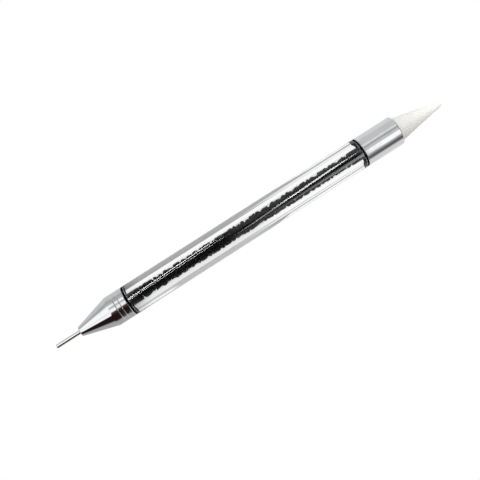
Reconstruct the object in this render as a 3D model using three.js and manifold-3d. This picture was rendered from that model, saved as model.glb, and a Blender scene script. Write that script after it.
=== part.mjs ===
// A rhinestone picker: a dual-ended nail-art pen. A clear acrylic handle holds a column of loose
// black flat-back rhinestones. A chromed nose cone carries a steel dotting pin at one end, and a
// chromed ferrule carries a tacky wax tip at the other. Each metal head ends in a threaded stud,
// which screws through a black rubber gasket into a plastic insert glued in the handle's bore.
// Millimetres, +Z up. The pen lies along X with the pin towards -X, on the flat facet under it.

import * as THREE from "three";
import { ConvexGeometry } from "three/addons/geometries/ConvexGeometry.js";
import { mergeVertices } from "three/addons/utils/BufferGeometryUtils.js";
import Module from "manifold-3d";

const wasm = await Module();
wasm.setup();

// Driving dimensions of the handle
const penDiameter = 9;
const tubeLength = 77.5;
const boreDiameter = 4;
const tubeEdge = 0.15;

// Inserts and gaskets
const insertLength = 3.6;
const insertFloor = 0.5;
const glueGap = 0.02;
const gasketThickness = 0.6;
const gasketInset = 0.05;

// Thread, drawn as plain cylinders
const studDiameter = 2.5;
const threadClearance = 0.12;
const threadEngagement = 2.75;
const studEdge = 0.25;

// Nose cone and its dotting pin
const noseConeLength = 10.5;
const noseCylinderLength = 5.5;
const noseTipDiameter = 2.9;
const noseTipRound = 0.2;
const noseRearEdge = 0.25;
const grooveCount = 2;
const grooveSpacing = 1.4;
const firstGroove = 2.2;
const grooveWidth = 0.22;
const grooveDepth = 0.08;
const pinDiameter = 1.2;
const pinReach = 7.8;
const pinSeat = 6;
const pinEdge = 0.12;
const pressGap = 0.02;

// Ferrule and its wax tip
const ferruleLength = 12;
const ferruleEdge = 0.12;
const ferruleWall = 0.7;
const socketDepth = 6.5;
const waxGap = 0.05;
const waxReach = 15.3;
const waxTipRadius = 0.7;
const waxShankGap = 0.3;

// Rhinestones: flat-back stones in rings across the bore
const stoneDiameter = 2;
const stoneThickness = 1;
const stoneSides = 8;
const tableShare = 0.5;
const stoneWallGap = 0.1;
const stoneRingGap = 0.1;
const stoneLapShare = 0.25;
const largestTilt = THREE.MathUtils.degToRad(15);

// Facets round the lathe-turned pieces: their flat facet under the axis is what the pen rests on
const bodySides = 32;

// Stations along the pen, from the pin's tip at the left to the wax tip at the right
const noseReach = pinReach + noseConeLength + noseCylinderLength;
const handleReach = tubeLength + 2 * gasketThickness;
const penLength = noseReach + handleReach + ferruleLength + waxReach;
const pinTipX = -penLength / 2;
const noseFrontX = pinTipX + pinReach;
const noseShoulderX = noseFrontX + noseConeLength;
const noseRearX = noseShoulderX + noseCylinderLength;
const tubeFrontX = noseRearX + gasketThickness;
const tubeRearX = tubeFrontX + tubeLength;
const ferruleRearX = tubeRearX + gasketThickness;
const ferruleMouthX = ferruleRearX + ferruleLength;
const waxTipX = ferruleMouthX + waxReach;

// Radii that mate
const penRadius = penDiameter / 2;
const boreRadius = boreDiameter / 2;
const studRadius = studDiameter / 2;
const threadRadius = studRadius + threadClearance;
const studLength = gasketThickness + threadEngagement;
const pinRadius = pinDiameter / 2;
const pinBoreRadius = pinRadius + pressGap;
const socketRadius = penRadius - ferruleWall;
const waxRadius = socketRadius - waxGap;
const axisHeight = penRadius * Math.cos(Math.PI / bodySides);

// Finishes
const finish = (color, roughness, metalness, extra = {}) =>
  new THREE.MeshStandardMaterial({ color, roughness, metalness, flatShading: true, ...extra });
const clearAcrylic = () => finish(0xf4f7f8, 0.05, 0, { transparent: true, opacity: 0.3 });
const chrome = () => finish(0xc9cccf, 0.12, 1);
const steel = () => finish(0x9b9a98, 0.3, 1);
const blackRubber = () => finish(0x0c0c0d, 0.6, 0);
const blackPlastic = () => finish(0x101011, 0.45, 0);
const paleWax = () => finish(0xe7e4df, 0.5, 0);
const blackStone = () => finish(0x07070a, 0.15, 0);

// A piece turned about the pen's axis. The profile is [x, radius] points: it runs up the outside
// from low x to high x and closes on itself or on the axis. A flat facet faces straight down.
function turned(profile, sides = bodySides) {
  const points = profile.map(([x, radius]) => new THREE.Vector2(radius, x));
  const geometry = new THREE.LatheGeometry(points, sides, Math.PI / sides, 2 * Math.PI);
  return geometry.rotateZ(-Math.PI / 2);
}

const pen = new THREE.Group();
pen.position.z = axisHeight;

function add(name, geometry, material) {
  const mesh = new THREE.Mesh(geometry, material);
  mesh.name = name;
  pen.add(mesh);
}

// Clear handle: a thick-walled tube, its end edges broken by a small chamfer
function tubeProfile() {
  return [
    [tubeFrontX, boreRadius],
    [tubeFrontX, penRadius - tubeEdge],
    [tubeFrontX + tubeEdge, penRadius],
    [tubeRearX - tubeEdge, penRadius],
    [tubeRearX, penRadius - tubeEdge],
    [tubeRearX, boreRadius],
    [tubeFrontX, boreRadius],
  ];
}
add("acrylic_tube", turned(tubeProfile()), clearAcrylic());

// Threaded insert: a blind plug glued in the bore, with its mouth flush with the handle's end.
// "inward" is +1 at the front end and -1 at the rear end.
function insertProfile(mouthX, inward) {
  const outer = boreRadius - glueGap;
  const floorX = mouthX + inward * insertLength;
  const holeEndX = floorX - inward * insertFloor;
  const profile = [
    [mouthX, threadRadius],
    [mouthX, outer],
    [floorX, outer],
    [floorX, 0],
    [holeEndX, 0],
    [holeEndX, threadRadius],
    [mouthX, threadRadius],
  ];
  return inward > 0 ? profile : profile.reverse();
}
add("front_insert", turned(insertProfile(tubeFrontX, 1)), blackPlastic());
add("rear_insert", turned(insertProfile(tubeRearX, -1)), blackPlastic());

// Gasket: a flat washer on the stud, squeezed between a head and the handle's end
function gasketProfile(leftX) {
  const rightX = leftX + gasketThickness;
  return [
    [leftX, threadRadius],
    [leftX, penRadius - gasketInset],
    [rightX, penRadius - gasketInset],
    [rightX, threadRadius],
    [leftX, threadRadius],
  ];
}
add("front_gasket", turned(gasketProfile(noseRearX)), blackRubber());
add("rear_gasket", turned(gasketProfile(tubeRearX)), blackRubber());

// Points of a stud that grows from a head's face at seatX, ending on the axis
function studProfile(seatX, outward) {
  const endX = seatX + outward * studLength;
  return [
    [seatX, studRadius],
    [endX - outward * studEdge, studRadius],
    [endX, studRadius - studEdge],
    [endX, 0],
  ];
}

// Nose cone: a turned cone and collar with fine ring grooves, a bore for the pin in front and
// the stud behind
function noseProfile() {
  const tipRadius = noseTipDiameter / 2;
  const slope = (penRadius - tipRadius) / noseConeLength;
  const profile = [
    [noseFrontX + pinSeat, 0],
    [noseFrontX + pinSeat, pinBoreRadius],
    [noseFrontX, pinBoreRadius],
    [noseFrontX, tipRadius - noseTipRound],
    [noseFrontX + noseTipRound, tipRadius + slope * noseTipRound],
    [noseShoulderX, penRadius],
  ];
  for (let groove = 0; groove < grooveCount; groove += 1) {
    const middle = noseShoulderX + firstGroove + groove * grooveSpacing;
    profile.push([middle - grooveWidth / 2, penRadius]);
    profile.push([middle, penRadius - grooveDepth]);
    profile.push([middle + grooveWidth / 2, penRadius]);
  }
  profile.push([noseRearX - noseRearEdge, penRadius]);
  profile.push([noseRearX, penRadius - noseRearEdge]);
  return [...profile, ...studProfile(noseRearX, 1)];
}
add("nose_cone", turned(noseProfile()), chrome());

// Dotting pin: a plain rod pressed in the nose cone's bore
function pinProfile() {
  const seatX = noseFrontX + pinSeat - pressGap;
  return [
    [pinTipX, 0],
    [pinTipX, pinRadius - pinEdge],
    [pinTipX + pinEdge, pinRadius],
    [seatX, pinRadius],
    [seatX, 0],
  ];
}
add("dotting_pin", turned(pinProfile()), steel());

// Ferrule: a turned cup with the wax tip's socket at its mouth and the stud at its closed end
function ferruleProfile() {
  return [
    ...studProfile(ferruleRearX, -1).reverse(),
    [ferruleRearX, penRadius - ferruleEdge],
    [ferruleRearX + ferruleEdge, penRadius],
    [ferruleMouthX - ferruleEdge, penRadius],
    [ferruleMouthX, penRadius - ferruleEdge],
    [ferruleMouthX, socketRadius],
    [ferruleMouthX - socketDepth, socketRadius],
    [ferruleMouthX - socketDepth, 0],
  ];
}
add("ferrule", turned(ferruleProfile()), chrome());

// Wax tip: a round-nosed cone on a straight shank that fills the ferrule's socket. The cone is
// tangent to the small sphere at its end.
function waxProfile() {
  const noseX = waxTipX - waxTipRadius;
  const run = noseX - ferruleMouthX;
  const tangent = Math.asin((waxRadius - waxTipRadius) / Math.hypot(run, waxRadius - waxTipRadius));
  const profile = [
    [ferruleMouthX - socketDepth + waxShankGap, 0],
    [ferruleMouthX - socketDepth + waxShankGap, waxRadius],
    [ferruleMouthX, waxRadius],
  ];
  const noseSteps = 4;
  for (let step = 0; step < noseSteps; step += 1) {
    const angle = tangent + (Math.PI / 2 - tangent) * (step / noseSteps);
    profile.push([noseX + waxTipRadius * Math.sin(angle), waxTipRadius * Math.cos(angle)]);
  }
  profile.push([waxTipX, 0]);
  return profile;
}
add("wax_tip", turned(waxProfile()), paleWax());

const girdleRadius = stoneDiameter / 2;

// One flat-back stone, centred on its bounding sphere: a flat back, a girdle and a table turned
// half a side against it, so that the crown between them falls into triangular facets
function stonePoints() {
  const points = [];
  const corner = (radius, angle, height) =>
    new THREE.Vector3(radius * Math.cos(angle), radius * Math.sin(angle), height);
  for (let side = 0; side < stoneSides; side += 1) {
    const angle = (side / stoneSides) * 2 * Math.PI;
    points.push(corner(girdleRadius, angle, -stoneThickness / 2));
    points.push(corner(girdleRadius * tableShare, angle + Math.PI / stoneSides, stoneThickness / 2));
  }
  return points;
}

// A repeatable scatter between -1 and 1, different for every whole number
function scatter(index) {
  const wave = Math.sin(index * 12.9898 + 4.1414) * 43758.5453;
  return 2 * (wave - Math.floor(wave)) - 1;
}

function toSolid(geometry) {
  const bare = geometry.clone();
  bare.deleteAttribute("normal");
  bare.deleteAttribute("uv");
  const merged = mergeVertices(bare, 1e-5);
  return new wasm.Manifold(new wasm.Mesh({
    numProp: 3,
    vertProperties: new Float32Array(merged.attributes.position.array),
    triVerts: new Uint32Array(merged.index.array),
  }));
}

function toGeometry(solid) {
  const mesh = solid.getMesh();
  const geometry = new THREE.BufferGeometry();
  geometry.setAttribute("position", new THREE.BufferAttribute(new Float32Array(mesh.vertProperties), 3));
  geometry.setIndex(new THREE.BufferAttribute(new Uint32Array(mesh.triVerts), 1));
  return geometry;
}

// How far a stone's centre may lie from the pen's axis: neither its table's corners nor its
// girdle's reach the bore's wall when it leans by the largest tilt
function seatFor(cornerRadius, cornerHeight) {
  const rise = cornerRadius * Math.sin(largestTilt) + cornerHeight * Math.cos(largestTilt);
  return Math.sqrt((boreRadius - stoneWallGap) ** 2 - cornerRadius ** 2) - rise;
}
const seatRadius = Math.min(
  seatFor(girdleRadius * tableShare, stoneThickness / 2), seatFor(girdleRadius, -stoneThickness / 2));

// A ring of stones that face outwards, each leaning and spun its own way, fused where their
// backs meet. It takes as many stones as make neighbours lap up to a share of their crowns.
const lapWidth = girdleRadius * Math.cos(Math.PI / stoneSides) * (1 - stoneLapShare * (1 - tableShare));
const lapHeight = seatRadius - stoneThickness * (0.5 - stoneLapShare);
const stonesPerRing = Math.ceil(Math.PI / Math.atan2(lapWidth, lapHeight));

function stoneRing(ring, middleX) {
  const stone = new ConvexGeometry(stonePoints());
  const ringTurn = scatter(ring) * Math.PI;
  let solid = null;
  for (let place = 0; place < stonesPerRing; place += 1) {
    const index = ring * stonesPerRing + place;
    const round = ringTurn + (place / stonesPerRing) * 2 * Math.PI;
    const leanTowards = Math.PI * scatter(index + 0.3);
    const leanAxis = new THREE.Vector3(Math.cos(leanTowards), Math.sin(leanTowards), 0);
    const pose = new THREE.Matrix4()
      .makeRotationX(round)
      .setPosition(middleX, -seatRadius * Math.sin(round), seatRadius * Math.cos(round))
      .multiply(new THREE.Matrix4().makeRotationAxis(leanAxis, largestTilt * scatter(index + 0.6)))
      .multiply(new THREE.Matrix4().makeRotationZ(Math.PI * scatter(index + 0.9)));
    const placed = toSolid(stone.clone().applyMatrix4(pose));
    solid = solid ? solid.add(placed) : placed;
  }
  return toGeometry(solid);
}

// The column of stones fills the bore between the two inserts
const columnStartX = tubeFrontX + insertLength;
const columnLength = tubeLength - 2 * insertLength;
const stoneReach = Math.hypot(stoneDiameter, stoneThickness);
const ringCount = Math.floor(columnLength / (stoneReach + stoneRingGap));
const ringPitch = columnLength / ringCount;
for (let ring = 0; ring < ringCount; ring += 1) {
  const label = String(ring + 1).padStart(2, "0");
  add(`rhinestones_${label}`, stoneRing(ring, columnStartX + (ring + 0.5) * ringPitch), blackStone());
}

export default pen;
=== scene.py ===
# %% [markdown]
# # A rhinestone picker, dressed around its fixed frame
#
# The object is a dual-ended nail-art pen, 130 mm long. Its clear acrylic handle is filled with loose
# black flat-back stones. A chromed nose with a steel dotting pin screws into one end of it, and a
# chromed cup with a cone of picking wax into the other.
#
# The CAD model gives every piece its place and size. Its round pieces have 32 flat sides, which is
# right for a physics engine and wrong for chrome and clear plastic, so each one is turned again here
# from the same stations, with fine facets, rounded edges, real threads and a finish of its own.

# %% Load the fixed frame
import math

import bpy
import numpy as np
from mathutils import Matrix, Vector


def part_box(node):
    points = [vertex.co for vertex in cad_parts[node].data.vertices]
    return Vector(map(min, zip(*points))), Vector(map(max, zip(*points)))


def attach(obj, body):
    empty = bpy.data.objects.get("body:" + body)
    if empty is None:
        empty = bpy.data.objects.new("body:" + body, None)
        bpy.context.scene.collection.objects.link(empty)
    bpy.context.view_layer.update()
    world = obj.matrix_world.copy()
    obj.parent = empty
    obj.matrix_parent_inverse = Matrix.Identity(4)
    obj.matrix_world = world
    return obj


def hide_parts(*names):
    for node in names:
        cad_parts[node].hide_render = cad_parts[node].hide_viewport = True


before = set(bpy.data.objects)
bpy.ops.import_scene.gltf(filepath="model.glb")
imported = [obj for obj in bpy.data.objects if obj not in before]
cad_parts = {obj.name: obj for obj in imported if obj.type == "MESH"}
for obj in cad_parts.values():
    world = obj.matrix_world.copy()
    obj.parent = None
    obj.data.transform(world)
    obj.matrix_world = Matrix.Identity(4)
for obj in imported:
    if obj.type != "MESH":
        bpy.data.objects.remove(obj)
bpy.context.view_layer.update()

# %% [markdown]
# ## Sizes
#
# Blender works in metres, but a pen is drawn in millimetres, so every size below is in millimetres and
# becomes metres only when a mesh or an object is made. Stations along the pen are read from the boxes
# of the CAD nodes. A box can't show an inner size, such as the depth of a socket, so each of those is
# named in the cell that needs it. A 32-sided solid lies on a flat facet, and the round piece it stands
# for reaches a little lower. The floor goes there, and the pen's axis stays where it is.

# %% Read the stations along the pen
MM = 0.001
CAD_SIDES = 32


def station(node, end):
    """The x of a node's low (0) or high (1) end, in millimetres."""
    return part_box(node)[end].x / MM


def radius_of(node):
    """The radius of a 32-sided turned node, from its flat-to-flat height, in millimetres."""
    low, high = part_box(node)
    return (high.z - low.z) / 2 / math.cos(math.pi / CAD_SIDES) / MM


pin_tip = station("dotting_pin", 0)
pin_end = station("dotting_pin", 1)
nose_front = station("nose_cone", 0)
nose_rear = station("front_gasket", 0)
tube_front = station("acrylic_tube", 0)
tube_rear = station("acrylic_tube", 1)
cup_rear = station("rear_gasket", 1)
cup_mouth = station("ferrule", 1)
wax_start = station("wax_tip", 0)
wax_end = station("wax_tip", 1)
column_front = station("front_insert", 1)
column_rear = station("rear_insert", 0)
pen_radius = radius_of("acrylic_tube")
washer_radius = radius_of("front_gasket")
plug_radius = radius_of("front_insert")
pin_radius = radius_of("dotting_pin")
wax_radius = radius_of("wax_tip")
axis_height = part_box("acrylic_tube")[1].z / 2 / MM
floor_height = axis_height - pen_radius
print(f"handle {tube_rear - tube_front:.1f} mm long, {2 * pen_radius:.2f} mm across")

# %% [markdown]
# ## The camera
#
# The photograph looks almost straight down on the pen, which crosses it at about 32 degrees. The
# black rings at the handle's ends look curved by different amounts, and that tells how near the camera
# was: about 200 mm above the pen, over a point 14 mm towards the pin from its middle. The camera is
# built from three directions: what it looks along, and the picture's right and up, turned until the
# pen's own +X lies at the angle of the photograph.

# %% Place the camera
CAMERA_PLACE = Vector((-14.4, -2.45, 205.4)) * MM
CAMERA_TARGET = Vector((-5.3, -2.45, 4.5)) * MM
PEN_ANGLE = math.radians(32.6)
FOCAL_LENGTH_PX = 705.7
PICTURE_PX = 480
SENSOR = 36


def aim(place, target, pen_angle):
    """The matrix of a camera that looks from place to target, with the pen's +X at pen_angle."""
    ahead = (target - place).normalized()
    along = (Vector((1, 0, 0)) - ahead * ahead.x).normalized()
    across = (-ahead).cross(along)
    right = along * math.cos(pen_angle) - across * math.sin(pen_angle)
    up = along * math.sin(pen_angle) + across * math.cos(pen_angle)
    turned = Matrix((right, up, -ahead)).transposed().to_4x4()
    return Matrix.Translation(place) @ turned


lens = bpy.data.cameras.new("photo_lens")
lens.sensor_width = SENSOR
lens.lens = FOCAL_LENGTH_PX / PICTURE_PX * SENSOR
lens.clip_start = 0.01
lens.clip_end = 20
camera = bpy.data.objects.new("photo_camera", lens)
camera.matrix_world = aim(CAMERA_PLACE, CAMERA_TARGET, PEN_ANGLE)
bpy.context.scene.collection.objects.link(camera)
bpy.context.scene.camera = camera
bpy.context.scene.view_settings.view_transform = "Standard"
print(f"lens {lens.lens:.1f} mm, {(CAMERA_PLACE - CAMERA_TARGET).length / MM:.0f} mm from the pen")

# %% [markdown]
# ## Shader maths as Python
#
# A graph of shader nodes is hard to read in a script. Here one small class wraps a socket, and its
# operators add Math nodes, so that `0.2 + 0.1 * smudge` is a piece of graph. A second class makes any
# other node from its type, its settings and its sockets, with short methods for those used most.


# %% A socket that can be used in expressions
class Wire:
    """A socket in an expression. Each operator adds one Math node."""

    def __init__(self, socket):
        self.socket = socket

    def maths(self, operation, *values):
        node = self.socket.id_data.nodes.new("ShaderNodeMath")
        node.operation = operation
        for slot, value in zip(node.inputs, values):
            join(value, slot)
        return Wire(node.outputs[0])

    def __add__(self, other):
        return self.maths("ADD", self, other)

    def __sub__(self, other):
        return self.maths("SUBTRACT", self, other)

    def __rsub__(self, other):
        return self.maths("SUBTRACT", other, self)

    def __mul__(self, other):
        return self.maths("MULTIPLY", self, other)

    def __neg__(self):
        return self.maths("MULTIPLY", self, -1.0)

    def __abs__(self):
        return self.maths("ABSOLUTE", self)

    __radd__ = __add__
    __rmul__ = __mul__


def join(value, slot):
    """Links a wire to a slot, or sets the slot's own value."""
    if isinstance(value, Wire):
        value.socket.id_data.links.new(value.socket, slot)
    else:
        slot.default_value = value


# %% A graph that makes any node
class Graph:
    """A node tree of a material, a lamp or the world, with its output node."""

    def __init__(self, owner, output):
        owner.use_nodes = True
        self.name = owner.name
        self.tree = owner.node_tree
        self.tree.nodes.clear()
        self.output = self.tree.nodes.new(output)

    def show(self, shader):
        """Joins a shader to the output, and says how large the graph has grown."""
        join(shader, self.output.inputs["Surface"])
        print(f"{self.name}: a graph of {len(self.tree.nodes)} nodes")

    def principled(self, sockets, settings=None):
        """Shows a Principled shader, the one that all the pieces use."""
        self.show(self.node("ShaderNodeBsdfPrincipled", settings, sockets))

    def node(self, kind, settings=None, sockets=None, take=0):
        """A node of any kind. take names the output wanted, or several as a tuple."""
        made = self.tree.nodes.new(kind)
        for name, value in (settings or {}).items():
            setattr(made, name, value)
        for name, value in (sockets or {}).items():
            join(value, made.inputs[name])
        if isinstance(take, tuple):
            return [Wire(made.outputs[name]) for name in take]
        return Wire(made.outputs[take])

    def rise(self, value, low, high):
        """0 below low, 1 above high, and a smooth step between."""
        sockets = {"Value": value, "From Min": low, "From Max": high}
        return self.node("ShaderNodeMapRange", {"interpolation_type": "SMOOTHSTEP"}, sockets)

    def band(self, value, low, high, soft):
        """1 between low and high, and 0 outside, with soft edges."""
        before = self.rise(value, low - soft, low + soft)
        after = self.rise(value, high - soft, high + soft)
        return before - after

    def larger(self, one, other):
        """The larger of two values."""
        return self.node("ShaderNodeMath", {"operation": "MAXIMUM"}, {0: one, 1: other})

    def blend(self, share, low, high):
        """A colour between low and high. A mix node's colours are its sockets 6 and 7, and its output 2."""
        return self.node("ShaderNodeMix", {"data_type": "RGBA"}, {0: share, 6: low, 7: high}, 2)

    def scaled(self, vector, factors):
        """A vector times a fixed vector, part by part."""
        return self.node("ShaderNodeVectorMath", {"operation": "MULTIPLY"}, {0: vector, 1: factors})

    def parts(self, vector):
        """The x, y and z of a vector."""
        return self.node("ShaderNodeSeparateXYZ", None, {"Vector": vector}, ("X", "Y", "Z"))

    def noise(self, vector, scale, detail=2.0, roughness=0.5):
        """Soft noise between 0 and 1."""
        sockets = {"Vector": vector, "Scale": scale, "Detail": detail, "Roughness": roughness}
        return self.node("ShaderNodeTexNoise", None, sockets, "Fac")

    def place(self):
        """Where a point of the piece lies, in the piece's own metres."""
        return self.node("ShaderNodeTexCoord", None, None, "Object")

    def millimetres(self):
        """The same place as x, y and z, in millimetres."""
        return self.parts(self.scaled(self.place(), (1 / MM, 1 / MM, 1 / MM)))

    def bump(self, height, distance, strength=1.0):
        """A normal pushed about by a height."""
        sockets = {"Height": height, "Distance": distance, "Strength": strength}
        return self.node("ShaderNodeBump", None, sockets, "Normal")


def new_finish(name):
    """A new material and its graph."""
    finish = bpy.data.materials.new(name)
    return finish, Graph(finish, "ShaderNodeOutputMaterial")


print("operators:", sorted(name for name in vars(Wire) if name.startswith("__")))

# %% [markdown]
# ## The studio
#
# Chrome has no colour of its own: what it shows is the room. The bands on the photograph's cup and
# nose tell what stood round the pen, because a ray that comes down on a round bar at an angle from
# its top goes back out at twice that angle. So the room is painted on the world as a function of two
# angles. `round_pen` turns about the pen's axis, from 0 straight up to 90 at the horizon on the near
# side (-Y), and `along_pen` leans towards the wax (+) or the pin (-). The lens sees each station of the
# pen at a lean of its own, so a light that ends at some lean ends at some station of the handle.

# %% Paint the room on the world
DEGREES = 180 / math.pi
DARK_ROOM = 0.02
world = bpy.data.worlds.new("studio")
bpy.context.scene.world = world
room = Graph(world, "ShaderNodeOutputWorld")
to_wax, to_far, to_top = room.parts(room.node("ShaderNodeTexCoord", None, None, "Generated"))
round_pen = room.node("ShaderNodeMath", {"operation": "ARCTAN2"}, {0: -to_far, 1: to_top}) * DEGREES
along_pen = room.node("ShaderNodeMath", {"operation": "ARCSINE"}, {0: to_wax}) * DEGREES
print("a turn about the pen goes from -180 to 180 degrees, and a lean from -90 to 90")

# %% [markdown]
# Over the handle the room is grey at the sides and darker overhead. A black flag hangs over the front
# half of the handle and a narrow black ridge over the rear half, so the plastic has nothing to mirror
# there but the strips, and the stones below look black. Each band is given by its low edge, its high
# edge and how soft both are, in degrees.

# %% The room over the handle
SIDE_ROOM = 0.35
TOP_ROOM = 0.14
OVERHEAD_EDGE = (45, 75)
FLAG_LEAN = (-7.5, 2.3, 0.7)
FLAG_TURN = (-42, 48, 6)
RIDGE_LEAN = (2.0, 20.0, 1.2)
RIDGE_TURN = (-6, 13, 4)
overhead = 1 - room.rise(abs(round_pen), *OVERHEAD_EDGE)
handle_level = SIDE_ROOM + (TOP_ROOM - SIDE_ROOM) * overhead
flag = room.band(along_pen, *FLAG_LEAN) * room.band(round_pen, *FLAG_TURN)
ridge = room.band(along_pen, *RIDGE_LEAN) * room.band(round_pen, *RIDGE_TURN)
black = room.larger(flag, ridge)
handle_level = handle_level * (1 - black) + DARK_ROOM * black
print("room beside and over the handle:", SIDE_ROOM, TOP_ROOM)

# %% [markdown]
# At the pin's end there is one soft box with a beam across it and then a dark side, brown where it
# begins. The collar and the cone show the same things, but the cone sends its rays out at a steeper
# lean, so each edge drifts with `steep`, the degrees of lean past those of the collar. The pin lies
# flat again and shows the box without the beam.

# %% The room at the pin's end
PIN_ROOM = 0.70
PIN_BOX = 0.85
COLLAR_LEAN = -8
PIN_LEAN = (-17, -11.5, 1)
BOX_START = -49
BOX_START_DRIFT = 0.26
BOX_START_BLUR = 8
BOX_END = 4.5
BOX_END_DRIFT = 0.68
BOX_END_BLUR = 5
BLUR_DRIFT = 0.07
BEAM_TURN = (-33, -19, 7)
BEAM_DRIFT = 0.79
BEAM_DEPTH = 0.95
BEAM_FADING = 0.019
DARK_SIDE_END = (74, 100)
FAR_GREY_TURN = (-88, -72, 8)
FAR_GREY_DEPTH = 0.12
BROWN_TURN = (-4, 20, 6)
BROWN_LEAN = (1, 4)
BROWN_GLOW = 0.045
steep = room.larger(COLLAR_LEAN - along_pen, 0.0)
box_start = BOX_START - BOX_START_DRIFT * steep
box_end = BOX_END + BOX_END_DRIFT * steep
box_blur = room.larger(BOX_END_BLUR - BLUR_DRIFT * steep, 1.0)
pin_box = room.rise(round_pen, box_start - BOX_START_BLUR, box_start + BOX_START_BLUR)
pin_box = pin_box * (1 - room.rise(round_pen, box_end - box_blur, box_end + box_blur))
beam = room.band(round_pen - BEAM_DRIFT * steep, *BEAM_TURN) * (BEAM_DEPTH - BEAM_FADING * steep)
beam = beam * (1 - room.band(along_pen, *PIN_LEAN))
pin_dark = room.rise(round_pen, box_end - box_blur, box_end + 2 * box_blur)
pin_dark = pin_dark * (1 - room.rise(round_pen, *DARK_SIDE_END))
far_grey = FAR_GREY_DEPTH * room.band(round_pen, *FAR_GREY_TURN)
pin_level = PIN_ROOM - far_grey + PIN_BOX * (pin_box * (1 - beam))
brown_edge = room.band(round_pen - box_end, *BROWN_TURN) * (1 - room.rise(steep, *BROWN_LEAN))
pin_level = pin_level * (1 - pin_dark) + (DARK_ROOM + BROWN_GLOW * brown_edge) * pin_dark
print("room and soft box at the pin's end:", PIN_ROOM, PIN_BOX)

# %% The room at the wax end: a pale line, a grey line, a soft box and a brown corner
WAX_ROOM = 0.85
WAX_BOX = 0.75
PALE_LINE = 0.33
PALE_LINE_TURN = (-39, -29, 4)
GREY_LINE = 0.34
GREY_LINE_TURN = (-22, -12, 5)
WAX_BOX_TURN = (9, 41, 5)
CORNER_START = (40, 66)
CORNER_END = (76, 92)
CORNER_DEPTH = 0.78
corner = room.rise(round_pen, *CORNER_START) * (1 - room.rise(round_pen, *CORNER_END))
pale_line = PALE_LINE * room.band(round_pen, *PALE_LINE_TURN)
grey_line = GREY_LINE * room.band(round_pen, *GREY_LINE_TURN)
wax_level = WAX_ROOM + pale_line - grey_line + WAX_BOX * room.band(round_pen, *WAX_BOX_TURN)
wax_level = wax_level * (1 - CORNER_DEPTH * corner)
print("room and soft box at the wax end:", WAX_ROOM, WAX_BOX)

# %% [markdown]
# The three rooms meet at the leans at which the lens sees the two ends of the handle. Their borders
# bend a little with the turn, because the lens is near. A ray from the lens itself sees plain white
# past the edge of the floor, so no view shows the painted room.

# %% Join the three rooms and tint their dark corners
NOSE_BORDER = -7.65
NOSE_BORDER_BEND = 0.00094
CUP_BORDER = 14.75
CUP_BORDER_BEND = -0.0018
BORDER_BLUR = 0.08
PIN_ROOM_REACH = 48
WAX_ROOM_REACH = 13
CORNER_WARMTH = 0.25
WHITE = (1.0, 1.0, 1.0, 1.0)
BROWN = (1.0, 0.66, 0.61, 1.0)
past_nose = along_pen - (NOSE_BORDER + NOSE_BORDER_BEND * abs(round_pen))
past_cup = along_pen - (CUP_BORDER + CUP_BORDER_BEND * abs(round_pen))
pin_share = room.band(past_nose, -PIN_ROOM_REACH, 0, BORDER_BLUR)
wax_share = room.band(past_cup, 0, WAX_ROOM_REACH, BORDER_BLUR)
level = handle_level * (1 - pin_share - wax_share) + pin_level * pin_share + wax_level * wax_share
lens_ray = room.node("ShaderNodeLightPath", None, None, "Is Camera Ray")
level = level * (1 - lens_ray) + lens_ray
warm = (pin_dark * pin_share + CORNER_WARMTH * corner * wax_share) * (1 - lens_ray)
tint = room.blend(warm, WHITE, BROWN)
room.show(room.node("ShaderNodeBackground", None, {"Color": tint, "Strength": level}))

# %% [markdown]
# The thin bright lines on the handle are reflections of strip lamps. Clear plastic gives back only 4% of
# the light, so a strip has to be many times brighter than white paper, and a path tracer would find
# such a small bright patch on the world only by luck. An area light is sampled on purpose, so the
# strips are real lamps, two metres away. The law of reflection hangs them: the lens should see the two
# ends of a strip at two places on the handle, and that tells in which directions the ends must lie.
# Only reflections show the strips, because inside the clear handle their light would turn to sparks.
# In a studio, flags and snoots keep a lamp to one thing. Here light linking does: the strips light only
# the handle, and a large soft fill lamp lights only the wax. A strip is given by its two ends on the
# handle, each as x and how far across, the width of its line there, its radiance, and the shares of its
# length over which it fades in and out.

# %% Hang one lamp
LAMP_DISTANCE = 2.0


def area_lamp(name, middle, along, length, width, radiance):
    """An area lamp that faces the pen, with its length along a direction. Rays in the handle miss it."""
    lamp = bpy.data.lights.new(name, "AREA")
    lamp.shape = "RECTANGLE"
    lamp.size, lamp.size_y = length, width
    lamp.energy = radiance * math.pi * length * width
    away = middle.normalized()
    side = away.cross(along).normalized()
    facing = Matrix((side.cross(away), side, away)).transposed().to_4x4()
    hung = bpy.data.objects.new(name, lamp)
    hung.matrix_world = Matrix.Translation(middle) @ facing
    hung.visible_transmission = False
    bpy.context.scene.collection.objects.link(hung)
    print(f"{name}: {length:.2f} m by {width:.2f} m, {lamp.energy:.1f} W")
    return hung


# %% Hang the strips where the handle mirrors them
def mirrored_place(x, across):
    """Where the lens sees a thing mirrored in the handle, at x and this far across, in millimetres."""
    outward = Vector((0, across, math.sqrt(pen_radius ** 2 - across ** 2)))
    point = (Vector((x, 0, axis_height)) + outward) * MM
    look = (point - CAMERA_PLACE).normalized()
    return point + LAMP_DISTANCE * look.reflect(outward.normalized())


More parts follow.
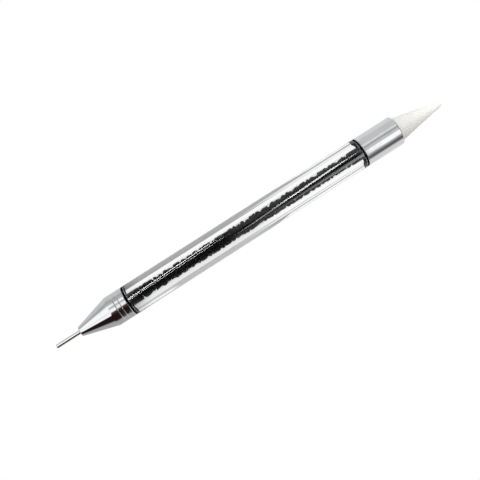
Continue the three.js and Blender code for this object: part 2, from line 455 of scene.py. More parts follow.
def strip_lamp(name, start, end, line_width, radiance, fade_in, fade_out):
    """A strip lamp whose reflection runs from start to end on the handle."""
    first, last = mirrored_place(*start), mirrored_place(*end)
    width = LAMP_DISTANCE * 2 * line_width / pen_radius
    hung = area_lamp(name, (first + last) / 2, last - first, (last - first).length, width, radiance)
    glow = Graph(hung.data, "ShaderNodeOutputLight")
    spot = glow.node("ShaderNodeNewGeometry", None, None, "Parametric")
    share = 1 - glow.parts(spot)[1]
    strength = glow.rise(share, 0, fade_in) * (1 - glow.rise(share, 1 - fade_out, 1))
    glow.show(glow.node("ShaderNodeEmission", None, {"Strength": strength}))
    return hung


strips = [
    strip_lamp("front_strip", (-50, 0.18), (-12, 1.26), 0.06, 7.8, 0.02, 0.3),
    strip_lamp("second_front_strip", (-50, -0.09), (-9, 0.68), 0.06, 5.0, 0.02, 0.45),
    strip_lamp("rear_strip_tail", (-3, -0.58), (13, 0.08), 0.12, 1.5, 0.5, 0.05),
    strip_lamp("rear_strip", (12, -0.08), (32, 0.58), 0.17, 4.7, 0.08, 0.4),
    strip_lamp("low_strip", (16.4, -1.17), (44, -0.62), 0.6, 1.0, 0.6, 0.02),
]

# %% Hang a fill lamp for the wax
FILL_PLACE = Vector((0.5, 0.3, 1.6))
FILL_SIDE = 1.4
FILL_RADIANCE = 3.3
fill = area_lamp("fill", FILL_PLACE, Vector((1, 0, 0)), FILL_SIDE, FILL_SIDE, FILL_RADIANCE)


# %% Keep lamps to one piece
def light_only(piece, *lamps):
    """Makes one piece the only thing that these lamps light."""
    lit = bpy.data.collections.new("lit_" + piece.name)
    lit.objects.link(piece)
    for lamp in lamps:
        lamp.light_linking.receiver_collection = lit
    print(piece.name, "alone is lit by", [lamp.name for lamp in lamps])


# %% [markdown]
# ## The floor
#
# The photograph was cut out on white, so the floor glows white by itself and takes no real shadow. Right
# under a clear handle the column of stones would shade the floor, so that shadow is painted on its glow.
# The handle bends the view, so all of its outer part looks down on nearly the same line of the floor,
# here called the focus, and that part looks grey. So a ray that has come through the handle sees a soft
# painted grey band at the focus on each side. Its outer reach shrinks towards the wax end, where only a
# thin line of it is left. The near band has a painted paler streak by the nose, and a little painted grey
# on the near edge as well. Under the pin's end a painted shade dims the paper too, and the chrome there
# shows it. The floor isn't sampled as a lamp, because most rays find something so large by themselves.

# %% Lay the floor
FLOOR_SIDE = 4.0
floor_mesh = bpy.data.meshes.new("floor")
half = FLOOR_SIDE / 2
floor_corners = [(-half, -half, 0), (half, -half, 0), (half, half, 0), (-half, half, 0)]
floor_mesh.from_pydata(floor_corners, [], [(0, 1, 2, 3)])
floor = bpy.data.objects.new("floor", floor_mesh)
floor.location.z = floor_height * MM
bpy.context.scene.collection.objects.link(floor)
print(f"floor at z {floor_height:.3f} mm")

# %% Find the focus and how far the grey reaches from it
FOCUS = 0.85
FOCUS_FALL = 0.0000295
BAND_REACH = 1.3
FAR_NARROWS = (-8, 24)
NEAR_NARROWS = (-2, 12)
floor_finish, ground = new_finish("white_floor")
floor_x, floor_y, _ = ground.millimetres()
from_lens = floor_x - CAMERA_PLACE.x / MM
focus = FOCUS - FOCUS_FALL * from_lens * from_lens
far_narrow = ground.rise(floor_x, *FAR_NARROWS)
near_narrow = ground.rise(floor_x, *NEAR_NARROWS)
far_reach = BAND_REACH * (1 - far_narrow)
near_reach = BAND_REACH * (1 - near_narrow)
print(f"the focus lies {FOCUS} mm to each side of the axis under the lens")

# %% Shade the floor for rays that came through the handle
STRIPE_EDGE = (0.88, 2.2)
MIDDLE_BLUR = 0.1
FAR_DEPTH = 0.63
FAR_INNER = 0.16
FAR_THINNING = 0.06
FAR_THINS = (-30, 20)
FAR_BLUR = 0.02
NEAR_DEPTH = 0.50
NEAR_DEEPENING = 0.4
NEAR_INNER = 0.035
NEAR_THINNING = 0.025
NEAR_THINS = (-18, 14)
NEAR_BLUR = 0.008
LINE_WIDTH = 0.03
PALE_GAP = (-0.84, -0.60, 0.03)
PALE_GAP_END = (-30, -26)
NEAR_SIDE_DEPTH = 0.15
NEAR_SIDE_EDGE = (-3.5, -2.2)
# The grey bands below are a painted shadow of the stones on the floor's glow, seen only through the handle.
far_inner = FAR_INNER - FAR_THINNING * ground.rise(floor_x, *FAR_THINS)
near_inner = NEAR_INNER - NEAR_THINNING * ground.rise(floor_x, *NEAR_THINS)
far_band = ground.band(floor_y - focus, -far_reach, far_inner, FAR_BLUR)
near_band = ground.band(-floor_y - focus, -LINE_WIDTH - near_reach, near_inner, NEAR_BLUR)
# A painted paler streak: near the nose the painted shadow is lifted.
painted_pale_streak = ground.band(floor_y, *PALE_GAP) * (1 - ground.rise(floor_x, *PALE_GAP_END))
stripe = 1 - ground.rise(abs(floor_y), *STRIPE_EDGE)
far_shade = FAR_DEPTH * (stripe * far_band)
near_shade = NEAR_DEPTH * (stripe * near_band * (1 - painted_pale_streak) * (1 + NEAR_DEEPENING * near_narrow))
far = ground.rise(floor_y, -MIDDLE_BLUR, MIDDLE_BLUR)
# A little painted shade on the floor's near edge.
painted_near_edge_shade = NEAR_SIDE_DEPTH * (1 - ground.rise(floor_y, *NEAR_SIDE_EDGE)) * (1 - near_narrow)
painted_shadow_under_handle = far_shade * far + near_shade * (1 - far) + painted_near_edge_shade
print("depth of the grey on the far and near side:", FAR_DEPTH, NEAR_DEPTH)

# %% Shade the floor for the chrome at the pin's end, and light it
NOSE_SHADE_END = (-44, -34)
NOSE_SHADE = 0.17
NEAR_NOSE_SHADE = 0.25
NEAR_HALF_BLUR = 3
# A painted shade on the floor under the pin's end, seen only in the chrome.
near_half = 1 - ground.rise(floor_y, -NEAR_HALF_BLUR, NEAR_HALF_BLUR)
painted_shade_under_nose = (1 - ground.rise(floor_x, *NOSE_SHADE_END)) * (NOSE_SHADE + NEAR_NOSE_SHADE * near_half)
refracted, mirrored = ground.node(
    "ShaderNodeLightPath", None, None, ("Is Transmission Ray", "Is Glossy Ray"))
glow = 1 - refracted * painted_shadow_under_handle - mirrored * painted_shade_under_nose
ground.show(ground.node("ShaderNodeEmission", None, {"Strength": glow}))
floor_mesh.materials.append(floor_finish)
floor_finish.cycles.emission_sampling = "NONE"

# %% [markdown]
# ## Turning on a lathe
#
# Every rigid piece of the pen was turned, so every one is made by the same two helpers. `rounded`
# takes the corners of an outline, each with its own small radius, and puts an arc in each corner: an
# edge that catches no light looks fake. `lathe` turns an outline about the pen's axis into a mesh.
# Its `shape` argument moves points in or out as the angle changes, which is how a screw thread is cut.
# A long run of the outline gets a holding ring near each end: smooth shading averages the faces that
# meet at a ring, and without these rings a rounded edge would tilt the shine of the whole run.


# %% Round the corners of an outline
def rounded(corners, steps=5):
    """An outline of (x, radius) points from corners (x, radius, corner radius)."""
    outline = []
    last = len(corners) - 1
    for index, (x, radius, fillet) in enumerate(corners):
        corner = Vector((x, radius))
        if fillet == 0 or index in (0, last):
            outline.append(tuple(corner))
            continue
        to_before = (Vector(corners[index - 1][:2]) - corner).normalized()
        to_after = (Vector(corners[index + 1][:2]) - corner).normalized()
        half_angle = to_before.angle(to_after) / 2
        centre = corner + (to_before + to_after).normalized() * fillet / math.sin(half_angle)
        reach = fillet / math.tan(half_angle)
        first = corner + to_before * reach - centre
        second = corner + to_after * reach - centre
        sweep = first.angle_signed(second)
        for step in range(steps + 1):
            spoke = Matrix.Rotation(-sweep * step / steps, 2) @ first
            outline.append(tuple(centre + spoke))
    return outline


print("a square corner of 0.1 mm becomes", len(rounded([(0, 0, 0), (0, 1, 0.1), (1, 1, 0)])) - 2, "points")

# %% Hold the long runs of an outline
LONG_RUN = 0.6
HOLD = 0.03


def held(outline):
    """The outline with two more points in each long run, close to its ends."""
    points = [outline[0]]
    for here, there in zip(outline, outline[1:]):
        length = math.dist(here, there)
        if length > LONG_RUN:
            for reach in (HOLD, length - HOLD):
                points.append(tuple(Vector(here).lerp(Vector(there), reach / length)))
        points.append(there)
    return points


print(f"a run over {LONG_RUN} mm is held {HOLD} mm from its ends")

# %% Turn an outline into a mesh
ON_AXIS = 1e-6


def lathe(name, outline, sides=160, shape=None):
    """A piece turned about the pen's axis from an outline whose outside runs towards +X."""
    closed = outline[0] == outline[-1]
    stations = held(outline)[:-1] if closed else held(outline)
    angles = np.arange(sides) * 2 * math.pi / sides
    verts, rings = [], []
    for x, radius in stations:
        if radius < ON_AXIS:
            rings.append([len(verts)] * sides)
            verts.append((x * MM, 0, axis_height * MM))
            continue
        rings.append(list(range(len(verts), len(verts) + sides)))
        for angle in angles:
            out = radius + (shape(x, radius, angle) if shape else 0)
            verts.append((x * MM, -out * math.sin(angle) * MM, (axis_height + out * math.cos(angle)) * MM))
    faces = []
    for place in range(len(rings) if closed else len(rings) - 1):
        here, there = rings[place], rings[(place + 1) % len(rings)]
        for side in range(sides):
            after = (side + 1) % sides
            loop = [here[side], here[after], there[after], there[side]]
            corners = list(dict.fromkeys(loop))
            if len(corners) > 2:
                faces.append(corners)
    return solid(name, verts, faces)


# %% Make a mesh object and dress it
def solid(name, verts, faces, smooth=True):
    """A mesh object in the scene, with its faces smooth or flat."""
    mesh = bpy.data.meshes.new(name)
    mesh.from_pydata(verts, [], faces)
    mesh.update()
    mesh.polygons.foreach_set("use_smooth", [smooth] * len(mesh.polygons))
    piece = bpy.data.objects.new(name, mesh)
    bpy.context.scene.collection.objects.link(piece)
    return piece


def dress(piece, body, slot, finish, *nodes):
    """Gives a piece its finish and its body, and hides the CAD nodes that it stands for. slot is not used.
    """
    piece.data.materials.append(finish)
    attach(piece, body)
    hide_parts(*nodes)
    print(piece.name, "has", len(piece.data.polygons), "faces and stands for", len(nodes), "node(s)")


# %% [markdown]
# ## Threads
#
# Each metal head ends in a stud with a right-hand thread, 0.5 mm a turn, and each plastic plug has
# the same thread cut in its hole. Both are one height field over x and angle, so they stay in step
# while a head screws out. The height fades away over the first and last turns, as a die leaves it.

# %% Cut a thread
THREAD_PITCH = 0.5
THREAD_DEPTH = 0.25
TOOTH_SLOPE = 1.7
TOOTH_ROOT = 0.35
SAME_RADIUS = 0.01


def thread(start, end, surface):
    """A shape for lathe: a right-hand thread between two stations, on points at this radius."""

    def cut(x, radius, angle):
        if not (start < x < end and abs(radius - surface) < SAME_RADIUS):
            return 0
        turn = (x / THREAD_PITCH - angle / (2 * math.pi)) % 1
        tooth = min(1, max(0, TOOTH_SLOPE * abs(2 * turn - 1) - TOOTH_ROOT))
        fade = min(1, (x - start) / THREAD_PITCH, (end - x) / THREAD_PITCH)
        return -THREAD_DEPTH * (1 - tooth) * fade

    return cut


def fine_run(start, end, radius, per_turn=10):
    """Closely spaced points along a straight run, for a thread to be cut in."""
    count = math.ceil(abs(end - start) / THREAD_PITCH * per_turn)
    return [(start + (end - start) * step / count, radius) for step in range(1, count)]


print(f"a turn of thread is {THREAD_PITCH} mm, cut {THREAD_DEPTH} mm deep")

# %% [markdown]
# ## The clear handle
#
# The handle is extruded acrylic rod, 9 mm across, with a 4 mm bore. A clear tube is two surfaces, the
# outside and the bore, and the light bends at both: that is why the column of stones looks its true
# width, with a bright band beside it where the bore mirrors the floor. A surface with a painted
# highlight can't do that, so the tube is a real thick wall of glass-like plastic. Its ends are
# sawn and polished, and handling has left faint scuffs that show only as a change of gloss.
#
# Plain acrylic mirrors 4% of the light, and a path tracer follows so weak a reflection only once in 25
# samples, which leaves the thin lines of the lamps speckled. So the top of the handle has a clear coat
# with a high index, which mirrors more, and the lamps and the room overhead are dimmed in step. The
# picture is the same, with much less noise.

# %% A finish for clear acrylic
COATED_ACROSS = (-2.0, 2.0, 0.3)
COATED_FROM = 3.0
COATED_FULL = 3.8


def clear_acrylic():
    finish, graph = new_finish("clear_acrylic")
    scuffs = graph.noise(graph.scaled(graph.place(), (60, 900, 900)), 1.0, 4.0, 0.6)
    _, across, up = graph.millimetres()
    above = graph.rise(up, axis_height + COATED_FROM, axis_height + COATED_FULL)
    graph.principled({
        "Base Color": (0.985, 0.99, 0.99, 1.0),
        "Roughness": 0.03 + 0.03 * graph.rise(scuffs, 0.62, 0.8),
        "IOR": 1.49,
        "Transmission Weight": 1.0,
        "Coat Weight": graph.band(across, *COATED_ACROSS) * above,
        "Coat IOR": 2.2,
        "Coat Roughness": 0.05,
    })
    return finish


# %% Turn the handle
BORE_RADIUS = 2.0
TUBE_EDGE = 0.1
BORE_EDGE = 0.03
tube_outline = rounded([
    (tube_front, BORE_RADIUS, 0),
    (tube_front, pen_radius, TUBE_EDGE),
    (tube_rear, pen_radius, TUBE_EDGE),
    (tube_rear, BORE_RADIUS, BORE_EDGE),
    (tube_front, BORE_RADIUS, 0),
])
handle_tube = lathe("handle_tube", tube_outline, 256)
dress(handle_tube, "handle", "clear_acrylic", clear_acrylic(), "acrylic_tube")
light_only(handle_tube, *strips)

# %% [markdown]
# ## Plugs in the bore
#
# A blind plug of black plastic is glued in each end of the bore. It keeps the stones in and takes the
# thread of the head. Through the handle it shows as the smooth, unbroken end of the black column.


# %% A finish for moulded black plastic
def black_plastic():
    finish, graph = new_finish("moulded_black_plastic")
    grain = graph.noise(graph.place(), 9000, 2.0)
    haze = graph.noise(graph.place(), 700, 3.0)
    graph.principled({
        "Base Color": graph.blend(haze, (0.002, 0.002, 0.003, 1), (0.006, 0.006, 0.007, 1)),
        "Roughness": 0.40 + 0.16 * haze,
        "Specular IOR Level": 0.1,
        "Normal": graph.bump(grain, 0.00001, 0.35),
    })
    return finish


plug_plastic = black_plastic()

# %% Turn the plugs
STUD_RADIUS = 1.25
THREAD_CLEARANCE = 0.12
PLUG_FLOOR = 0.5
thread_hole = STUD_RADIUS + THREAD_CLEARANCE


def plug(name, mouth, floor, node):
    """A threaded plug with its mouth at the handle's end and its floor against the stones."""
    inward = 1 if floor > mouth else -1
    hole_end = floor - inward * PLUG_FLOOR
    outline = [(mouth, thread_hole)] + rounded([
        (mouth, thread_hole, 0),
        (mouth, plug_radius, 0.08),
        (floor, plug_radius, 0.12),
        (floor, 0, 0),
        (hole_end, 0, 0),
        (hole_end, thread_hole, 0.05),
        (mouth, thread_hole, 0),
    ])[1:-1]
    outline += fine_run(hole_end, mouth, thread_hole) + [(mouth, thread_hole)]
    start, end = sorted((mouth - inward * THREAD_PITCH, hole_end))
    cut = thread(start, end, thread_hole)
    piece = lathe(name, outline if inward > 0 else outline[::-1], 128, cut)
    dress(piece, "handle", "black_plastic", plug_plastic, node)


plug("front_plug", tube_front, column_front, "front_insert")
plug("rear_plug", tube_rear, column_rear, "rear_insert")

# %% [markdown]
# ## Rubber washers
#
# A thin black washer sits between each head and the handle. Squeezed rubber bulges, so its rim is
# rounded over its whole thickness. The surface is matt with a fine grain, and a little bloom on it.
# It is pressed a hair into the handle's end, as squeezed rubber is: no air is left between the two, so
# the washer's face shows black through the handle and its ring looks thicker than it is.


# %% A finish for black rubber
def black_rubber():
    finish, graph = new_finish("black_rubber")
    grain = graph.noise(graph.place(), 14000, 3.0, 0.6)
    bloom = graph.noise(graph.place(), 900, 4.0)
    graph.principled({
        "Base Color": graph.blend(bloom, (0.002, 0.002, 0.003, 1), (0.007, 0.007, 0.008, 1)),
        "Roughness": 0.55 + 0.2 * bloom,
        "Specular IOR Level": 0.02,
        "Normal": graph.bump(grain, 0.00001, 0.3),
    })
    return finish


washer_rubber = black_rubber()

# %% Turn the washers
PRESSED = 0.02
BULGE_SHARE = 0.4


def washer(name, low, high, node):
    """A rubber washer with a bulging rim, on a body of its own."""
    bulge = (high - low) / 2 * BULGE_SHARE
    outline = rounded([
        (low, thread_hole, 0),
        (low, washer_radius, bulge),
        (high, washer_radius, bulge),
        (high, thread_hole, 0.04),
        (low, thread_hole, 0),
    ])
    dress(lathe(name, outline, 160), node, "black_rubber", washer_rubber, node)


washer("front_washer", nose_rear, tube_front + PRESSED, "front_gasket")
washer("rear_washer", tube_rear - PRESSED, cup_rear, "rear_gasket")

# %% [markdown]
# ## Chromed heads
#
# Nose and cup are turned brass, polished and plated. Chrome gives back a little over half of the
# light, slightly blue. It is never perfectly even: handling leaves smudges that change its gloss, and
# the lathe leaves rings too fine to see one by one, which stretch each highlight along the pen.


# %% A finish for chrome
def chrome():
    finish, graph = new_finish("bright_chrome")
    smudge = graph.rise(graph.noise(graph.place(), 330, 4.0, 0.55), 0.42, 0.75)
    turned = graph.noise(graph.scaled(graph.place(), (26000, 300, 300)), 1.0, 2.0)
    graph.principled({
        "Base Color": graph.blend(smudge, (0.60, 0.61, 0.625, 1), (0.565, 0.57, 0.58, 1)),
        "Metallic": 1.0,
        "Roughness": 0.025 + 0.075 * smudge,
        "Normal": graph.bump(turned, 0.00000015, 0.5),
    })
    return finish


plated = chrome()

# %% Turn the nose
CONE_LENGTH = 10.5
NOSE_TIP_RADIUS = 1.45
NOSE_GROOVES = (2.2, 3.6)
GROOVE_WIDTH = 0.22
GROOVE_DEPTH = 0.08
FINE_EDGE = 0.06
REAR_BEVEL = 0.2
STUD_TAPER = 0.25
PRESS_GAP = 0.02
nose_shoulder = nose_front + CONE_LENGTH
stud_end = station("nose_cone", 1)
pin_bore = pin_radius + PRESS_GAP
nose_corners = [
    (pin_end + PRESS_GAP, 0, 0),
    (pin_end + PRESS_GAP, pin_bore, 0.05),
    (nose_front, pin_bore, 0.08),
    (nose_front, NOSE_TIP_RADIUS, 0.3),
    (nose_shoulder, pen_radius, 1.2),
]
for groove in NOSE_GROOVES:
    for step, depth in ((-0.5, 0), (0, GROOVE_DEPTH), (0.5, 0)):
        x = nose_shoulder + groove + step * GROOVE_WIDTH
        nose_corners.append((x, pen_radius - depth, FINE_EDGE))
nose_corners += [
    (nose_rear - REAR_BEVEL, pen_radius, FINE_EDGE),
    (nose_rear, pen_radius - REAR_BEVEL, FINE_EDGE),
    (nose_rear, STUD_RADIUS, 0),
]
nose_outline = rounded(nose_corners) + fine_run(nose_rear, stud_end, STUD_RADIUS)
nose_outline += [(stud_end, STUD_RADIUS - STUD_TAPER), (stud_end, 0)]
nose = lathe("nose", nose_outline, 192, thread(nose_rear + THREAD_PITCH, stud_end, STUD_RADIUS))
dress(nose, "nose", "chrome", plated, "nose_cone")

# %% [markdown]
# ## The dotting pin
#
# The pin is drawn steel wire, cut, deburred and pressed in. Drawing leaves long fine lines along it.


# %% A finish for drawn steel
def drawn_steel():
    finish, graph = new_finish("drawn_steel")
    lines = graph.noise(graph.scaled(graph.place(), (250, 16000, 16000)), 1.0, 3.0)
    graph.principled({
        "Base Color": graph.blend(lines, (0.60, 0.59, 0.58, 1), (0.70, 0.69, 0.68, 1)),
        "Metallic": 1.0,
        "Roughness": 0.02 + 0.04 * lines,
        "Normal": graph.bump(lines, 0.000001, 0.1),
    })
    return finish


# %% Turn the pin
pin_outline = rounded([
    (pin_tip, 0, 0),
    (pin_tip, pin_radius, 0.16),
    (pin_end, pin_radius, 0.05),
    (pin_end, 0, 0),
])
dress(lathe("pin", pin_outline, 96), "nose", "steel", drawn_steel(), "dotting_pin")

# %% [markdown]
# ## The cup
#
# The cup at the other end is a plain turned tube with a floor: the wax sits in its mouth and the stud
# grows from its back. The rim is rounded over, so that it doesn't scratch a nail.

# %% Turn the cup
CUP_WALL = 0.7
SOCKET_DEPTH = 6.5
cup_stud_end = station("ferrule", 0)
socket_radius = pen_radius - CUP_WALL
cup_outline = [(cup_stud_end, 0), (cup_stud_end, STUD_RADIUS - STUD_TAPER)]
cup_outline += fine_run(cup_stud_end, cup_rear, STUD_RADIUS)
cup_outline += rounded([
    (cup_rear, STUD_RADIUS, 0),
    (cup_rear, pen_radius, 0.12),
    (cup_mouth, pen_radius, 0.25),
    (cup_mouth, socket_radius, 0.08),
    (cup_mouth - SOCKET_DEPTH, socket_radius, 0.1),
    (cup_mouth - SOCKET_DEPTH, 0, 0),
])
cup = lathe("end_cup", cup_outline, 192, thread(cup_stud_end, cup_rear - THREAD_PITCH, STUD_RADIUS))
dress(cup, "ferrule", "chrome", plated, "ferrule")

# %% [markdown]
# ## The wax
#
# The picking wax is a firm, tacky, translucent wax moulded into a cone. Light goes into it and comes
# out again nearby, so its thin tip looks lighter than its base. Tracing that light is grainy at few
# samples, so only a small share is traced, and the base colour carries the rest. The wax is soft enough
# to be rubbed out of true: the tip wanders to one side and the surface is uneven, with faint streaks.


# %% A finish for translucent wax
def picking_wax():
    finish, graph = new_finish("picking_wax")
    streaks = graph.noise(graph.scaled(graph.place(), (160, 900, 900)), 1.0, 4.0, 0.6)
    cloud = graph.noise(graph.place(), 420, 3.0)
    tipward = graph.rise(graph.millimetres()[0], cup_mouth, wax_end)
    body = graph.blend(cloud, (0.71, 0.70, 0.675, 1), (0.76, 0.75, 0.73, 1))
    graph.principled({
        "Base Color": graph.blend(tipward, body, (0.93, 0.93, 0.88, 1)),
        "Roughness": 0.42 + 0.2 * streaks,
        "IOR": 1.44,
        "Subsurface Weight": 0.02,
        "Subsurface Radius": (1.0, 1.0, 1.0),
        "Subsurface Scale": 0.001,
        "Normal": graph.bump(streaks, 0.00008, 0.5),
    }, {"subsurface_method": "BURLEY"})
    return finish


# %% Draw the outline of the wax, with many points along its cone
WAX_TIP_RADIUS = 0.7
WAX_STEPS = 40
wax_length = wax_end - cup_mouth
coarse_outline = rounded([
    (wax_start, 0, 0),
    (wax_start, wax_radius, 0.15),
    (cup_mouth, wax_radius, 0.4),
    (wax_end, WAX_TIP_RADIUS * 0.95, WAX_TIP_RADIUS * 0.8),
    (wax_end, 0, 0),
], 8)
wax_outline = []
for here, there in zip(coarse_outline, coarse_outline[1:]):
    parts = max(1, round(math.dist(here, there) / wax_length * WAX_STEPS))
    wax_outline += [tuple(Vector(here).lerp(Vector(there), part / parts)) for part in range(parts)]
wax_outline.append(coarse_outline[-1])
print("the outline of the wax has", len(wax_outline), "points")

# %% Turn the wax and rub it out of true
WAX_DRIFT = 0.5
DRIFT_CURVE = 1.5
UNEVENNESS = 0.02


def rubbed(x, radius, angle):
    """How uneven the wax is: a few soft waves, only outside the cup."""
    out = max(0, (x - cup_mouth) / wax_length)
    waves = math.sin(3 * angle + 0.9 * x) + math.sin(2 * angle - 0.5 * x + 1)
    waves += math.sin(5 * angle + 1.7 * x)
    return UNEVENNESS * waves * min(1, 6 * out) * min(1, radius)


wax = lathe("wax", wax_outline, 128, rubbed)
for vertex in wax.data.vertices:
    out = max(0, (vertex.co.x / MM - cup_mouth) / wax_length)
    vertex.co.y -= WAX_DRIFT * MM * out ** DRIFT_CURVE
dress(wax, "wax_tip", "pale_wax", picking_wax(), "wax_tip")
light_only(wax, fill)

# %% [markdown]
# ## The stones
#
# A flat-back rhinestone has a flat back, a thin girdle, eight large facets up to an octagonal table and
# eight small triangles between them. Here 285 of them lie loose in the bore. Copies laid out by a
# rule look like a chain, and a rigid-body simulation of so many thin stones is slow, so they are
# packed by pushing: each stone is nine balls that keep its shape. The stones start small and
# scattered and grow, and wherever balls touch each other or the bore they are pushed apart. The bore
# holds the corners of a stone's back too, its feet, which the balls don't reach. After each push every
# stone takes the position and turn that fits its balls and feet best.

# %% Cut one stone
STONE_DIAMETER = 2.0
STONE_THICKNESS = 1.0
GIRDLE = 0.14
TABLE_SHARE = 0.52
FACETS = 8


def one_stone():
    """The corners and faces of one stone, with its back at the bottom."""
    top, bottom = STONE_THICKNESS / 2, -STONE_THICKNESS / 2
    rim = STONE_DIAMETER / 2
    fine = [(side + 0.5) * math.pi / FACETS for side in range(2 * FACETS)]
    coarse = [2 * (side + 0.5) * math.pi / FACETS for side in range(FACETS)]
    levels = [(bottom, rim, fine), (bottom + GIRDLE, rim, fine), (top, rim * TABLE_SHARE, coarse)]
    corners = [(r * math.cos(a), r * math.sin(a), z) for z, r, angles in levels for a in angles]
    back, girdle, table = 0, 2 * FACETS, 4 * FACETS
    faces = [tuple(range(2 * FACETS))[::-1], tuple(range(table, table + FACETS))]
    for side in range(2 * FACETS):
        after = (side + 1) % (2 * FACETS)
        faces.append((back + side, back + after, girdle + after, girdle + side))
    for side in range(FACETS):
        left, right = girdle + 2 * side, girdle + 2 * side + 1
        beyond = girdle + (2 * side + 2) % (2 * FACETS)
        faces.append((left, right, table + side))
        faces.append((right, beyond, table + (side + 1) % FACETS, table + side))
    return np.array(corners), faces


stone_corners, stone_faces = one_stone()
print("one stone has", len(stone_corners), "corners and", len(stone_faces), "facets")

# %% Let balls and feet stand for a stone
RIM_BALLS = 8
RIM_BALL = 0.3


def stone_balls():
    """Centres and radii of the nine balls that stand for a stone while it settles."""
    reach = STONE_DIAMETER / 2 - RIM_BALL
    angles = np.arange(RIM_BALLS) * 2 * math.pi / RIM_BALLS
    low = np.full(RIM_BALLS, RIM_BALL - STONE_THICKNESS / 2)
    centres = np.vstack([np.stack([reach * np.cos(angles), reach * np.sin(angles), low], 1), [[0, 0, 0]]])
    return centres, np.array([RIM_BALL] * RIM_BALLS + [STONE_THICKNESS / 2])


balls, ball_radii = stone_balls()
feet = stone_corners[0:2 * FACETS:2]
body = np.vstack([balls, feet])
body_radii = np.concatenate([ball_radii, np.zeros(len(feet))])
print("a stone settles as", len(balls), "balls and", len(feet), "feet")

# %% Scatter the stones
SEED = 11
rng = np.random.default_rng(SEED)


def random_turns(count):
    """Random rotation matrices, one a stone."""
    quaternions = rng.normal(size=(count, 4))
    w, x, y, z = (quaternions / np.linalg.norm(quaternions, axis=1, keepdims=True)).T
    rows = [
        [1 - 2 * (y * y + z * z), 2 * (x * y - z * w), 2 * (x * z + y * w)],
        [2 * (x * y + z * w), 1 - 2 * (x * x + z * z), 2 * (y * z - x * w)],
        [2 * (x * z - y * w), 2 * (y * z + x * w), 1 - 2 * (x * x + y * y)],
    ]
    return np.array(rows).transpose(2, 0, 1)


def laid_out(shape, places, turns):
    """The points of a shape, copied to where every stone lies."""
    return places[:, None] + np.einsum("sij,pj->spi", turns, shape)


print("the stones are scattered from seed", SEED)

# %% Push the stones apart and keep them in the bore
TOUCH_REACH = 2.3
LARGEST_PUSH = 0.25
WALL_GAP = 0.02
END_GAP = 0.05
TINY = 1e-9
column_low = column_front + END_GAP
column_high = column_rear - END_GAP


def push_apart(points, places, size):
    """The points after balls that overlap have pushed each other away, and the deepest overlap."""
    between = np.abs(places[:, None, 0] - places[None, :, 0])
    first, second = np.nonzero(np.triu(between < TOUCH_REACH, 1))
    near = np.linalg.norm(places[first] - places[second], axis=1) < TOUCH_REACH
    first, second = first[near], second[near]
    centres = points[:, :len(balls)]
    apart = centres[first][:, :, None] - centres[second][:, None]
    distance = np.linalg.norm(apart, axis=3) + TINY
    overlap = size * (ball_radii[:, None] + ball_radii[None]) - distance
    pair, one, two = np.nonzero(overlap > 0)
    shove = apart[pair, one, two] * (0.5 * overlap[pair, one, two] / distance[pair, one, two])[:, None]
    push = np.zeros_like(points)
    np.add.at(push, (first[pair], one), shove)
    np.add.at(push, (second[pair], two), -shove)
    push /= np.maximum(1, np.linalg.norm(push, axis=2, keepdims=True) / LARGEST_PUSH)
    return points + push, overlap.max(initial=0)


def keep_in_bore(points, size):
    """Moves points back inside the bore and between the plugs."""
    out = np.linalg.norm(points[:, :, 1:], axis=2)
    limit = BORE_RADIUS - WALL_GAP - size * body_radii
    points[:, :, 1:] *= np.minimum(1, limit / np.maximum(out, TINY))[:, :, None]
    lowest, highest = column_low + size * body_radii, column_high - size * body_radii
    points[:, :, 0] = np.clip(points[:, :, 0], lowest, highest)


print(f"the column is {column_high - column_low:.1f} mm long")

# %% Fit the stones to their balls, and nudge the last corners in
NUDGES = 12


def fitted(points, size):
    """The places and turns that fit every stone best to its points."""
    spread = points - points.mean(axis=1, keepdims=True)
    left, _, right = np.linalg.svd(np.einsum("sbi,bj->sij", spread, body - body.mean(axis=0)))
    left[:, :, 2] *= np.sign(np.linalg.det(left @ right))[:, None]
    turns = left @ right
    return points.mean(axis=1) - np.einsum("sij,j->si", turns, body.mean(axis=0) * size), turns


def nudge_in(places, turns):
    """Moves stones whose corners stick out of the column back into it."""
    for _ in range(NUDGES):
        corners = laid_out(stone_corners, places, turns)
        out = np.linalg.norm(corners[:, :, 1:], axis=2)
        worst = out.argmax(axis=1)
        furthest = out.max(axis=1)
        outward = corners[np.arange(len(places)), worst, 1:] / furthest[:, None]
        places[:, 1:] -= outward * np.maximum(0, furthest - BORE_RADIUS + WALL_GAP / 2)[:, None]
        places[:, 0] += np.maximum(0, column_low - corners[:, :, 0].min(axis=1))
        places[:, 0] -= np.maximum(0, corners[:, :, 0].max(axis=1) - column_high)
    print(f"the furthest corner lies {furthest.max():.3f} mm out")


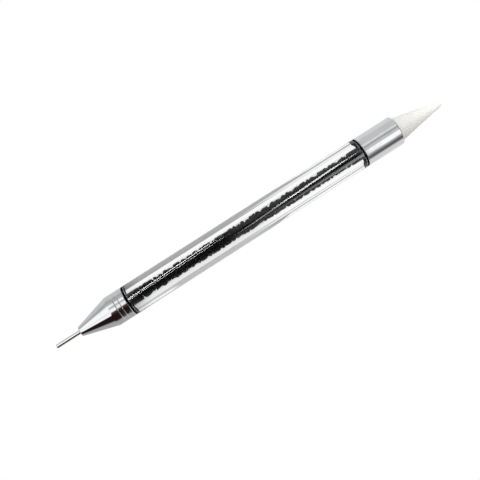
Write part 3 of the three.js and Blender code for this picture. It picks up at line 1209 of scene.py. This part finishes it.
# %% Settle the stones
STONE_COUNT = 285
SETTLE_STEPS = 420
SCATTER = 0.7
START_SIZE = 0.5
GROWING = 0.7


def settle(count, steps):
    """Places and turns of the stones, in millimetres from the pen's axis."""
    evenly = column_low + (np.arange(count) + 0.5) * (column_high - column_low) / count
    places = np.stack([evenly, *(rng.normal(size=(2, count)) * SCATTER)], 1)
    turns = random_turns(count)
    for step in range(steps):
        size = min(1.0, START_SIZE + (1 - START_SIZE) * step / (GROWING * steps))
        points, deepest = push_apart(laid_out(body * size, places, turns), places, size)
        keep_in_bore(points, size)
        places, turns = fitted(points, size)
    nudge_in(places, turns)
    print(f"settled {count} stones in {steps} steps; the deepest overlap left is {deepest:.3f} mm")
    return places, turns


stone_places, stone_turns = settle(STONE_COUNT, SETTLE_STEPS)

# %% A finish for black stones
# Where along the pen the stones' painted haze begins.
PAINTED_HAZE_EDGE = (-10, 2)


def black_stone():
    finish, graph = new_finish("black_rhinestone")
    each = graph.node("ShaderNodeNewGeometry", None, None, "Random Per Island")
    dust = graph.rise(graph.noise(graph.place(), 2600, 3.0), 0.5, 0.75)
    # The stones turn a little lighter towards the wax end: a painted reflection, the room's haze in the
    # handle over them. The noise in it is dust.
    dust_and_painted_haze = (0.3 + 0.7 * dust) * graph.rise(graph.millimetres()[0], *PAINTED_HAZE_EDGE)
    black = graph.blend(each, (0.001, 0.001, 0.0015, 1), (0.005, 0.005, 0.006, 1))
    graph.principled({
        "Base Color": graph.blend(dust_and_painted_haze, black, (0.006, 0.006, 0.009, 1)),
        "Roughness": 0.10 + 0.1 * each + 0.15 * dust,
        "Specular IOR Level": 0.08,
    })
    return finish


# %% Make all the stones one mesh of separate solids
corner_sets = laid_out(stone_corners, stone_places, stone_turns) + np.array([0, 0, axis_height])
stone_verts = (corner_sets.reshape(-1, 3) * MM).tolist()
stone_loops = [
    tuple(stone * len(stone_corners) + corner for corner in face)
    for stone in range(STONE_COUNT)
    for face in stone_faces
]
stones = solid("rhinestones", stone_verts, stone_loops, smooth=False)
stone_nodes = sorted(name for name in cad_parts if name.startswith("rhinestones_"))
dress(stones, "handle", "black_stone", black_stone(), *stone_nodes)

# %% [markdown]
